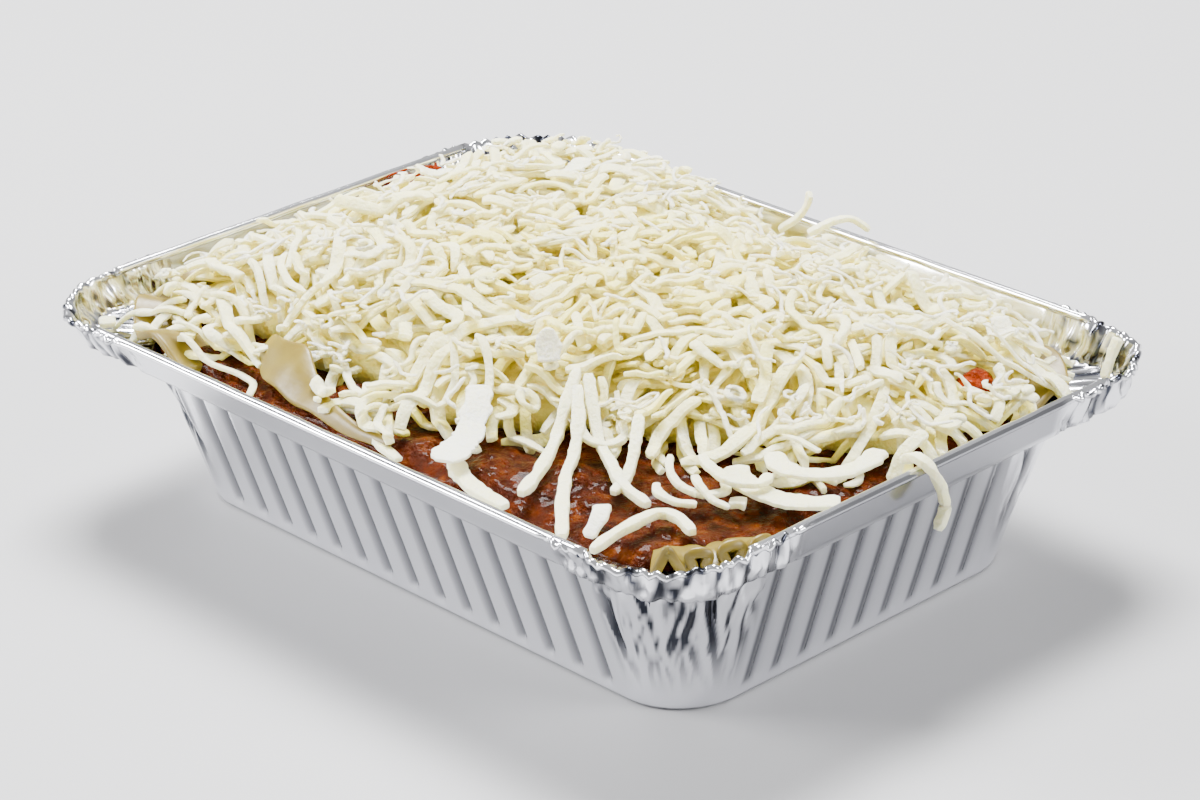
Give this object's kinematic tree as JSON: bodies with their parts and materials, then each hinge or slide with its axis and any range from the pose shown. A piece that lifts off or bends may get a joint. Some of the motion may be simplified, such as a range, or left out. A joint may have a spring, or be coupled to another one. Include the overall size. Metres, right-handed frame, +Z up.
{
  "type": "foil tray meal",
  "caption": "Oblong ribbed foil tray holding a pasta bake: meat sauce, pasta sheets at the sides and a heap of shredded cheese.",
  "frame": {"origin": "centre of the tray's flat base, on the surface that it stands on", "axes": "+X along the tray's long side, +Y across it, +Z up"},
  "size_m": [0.206, 0.1511, 0.0606],
  "materials": {
    "foil": "bright pressed foil",
    "meat_sauce": "wet, lumpy meat sauce",
    "cheese": "soft satin shreds",
    "pasta": "smooth, slightly moist",
    "tomato": "wet, coated in sauce"
  },
  "bodies": {
    "root": {"foil_tray": "foil", "meat_sauce": "meat_sauce", "shredded_cheese": "cheese", "pasta_front_frill": "pasta", "pasta_left_frill": "pasta", "pasta_right_frill": "pasta", "pasta_side_sheet": "pasta", "pasta_far_tip": "pasta", "tomato_right": "tomato", "tomato_far": "tomato", "hanging_shred": "cheese", "front_shred_long": "cheese", "front_shred_left": "cheese", "front_shred_right": "cheese", "front_shred_bent": "cheese", "front_curl": "cheese", "blunt_shred": "cheese", "ragged_ribbon": "cheese", "broad_ribbon_low": "cheese", "broad_ribbon_high": "cheese", "front_crumb": "cheese", "corner_shred": "cheese", "corner_crumb": "cheese", "standing_flake": "cheese"}
  },
  "joints": []
}
